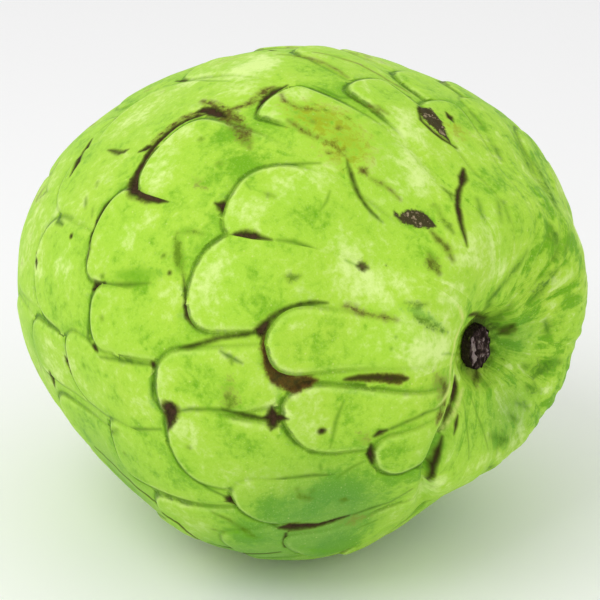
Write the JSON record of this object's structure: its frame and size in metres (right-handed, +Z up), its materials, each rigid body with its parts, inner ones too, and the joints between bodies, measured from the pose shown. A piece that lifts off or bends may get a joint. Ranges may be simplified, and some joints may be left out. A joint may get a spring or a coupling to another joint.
{
  "type": "cherimoya",
  "caption": "Whole green cherimoya lying on its side, its skin covered in overlapping thumb-print scales, with a dished stem cavity that holds a woody stalk stub.",
  "frame": {"origin": "centre of the fruit's box, on the surface that it rests on", "axes": "+X along the fruit's core from the pointed end to the stem end, +Z up as the fruit lies on its side"},
  "size_m": [0.1074, 0.1036, 0.0899],
  "materials": {
    "skin": "satin fruit skin, yellow-green, paler on the scales and dark in the seams between them",
    "stub_wood": "dry dark brown stalk wood"
  },
  "bodies": {
    "root": {"fruit": "skin", "stem_stub": "stub_wood"}
  },
  "joints": []
}
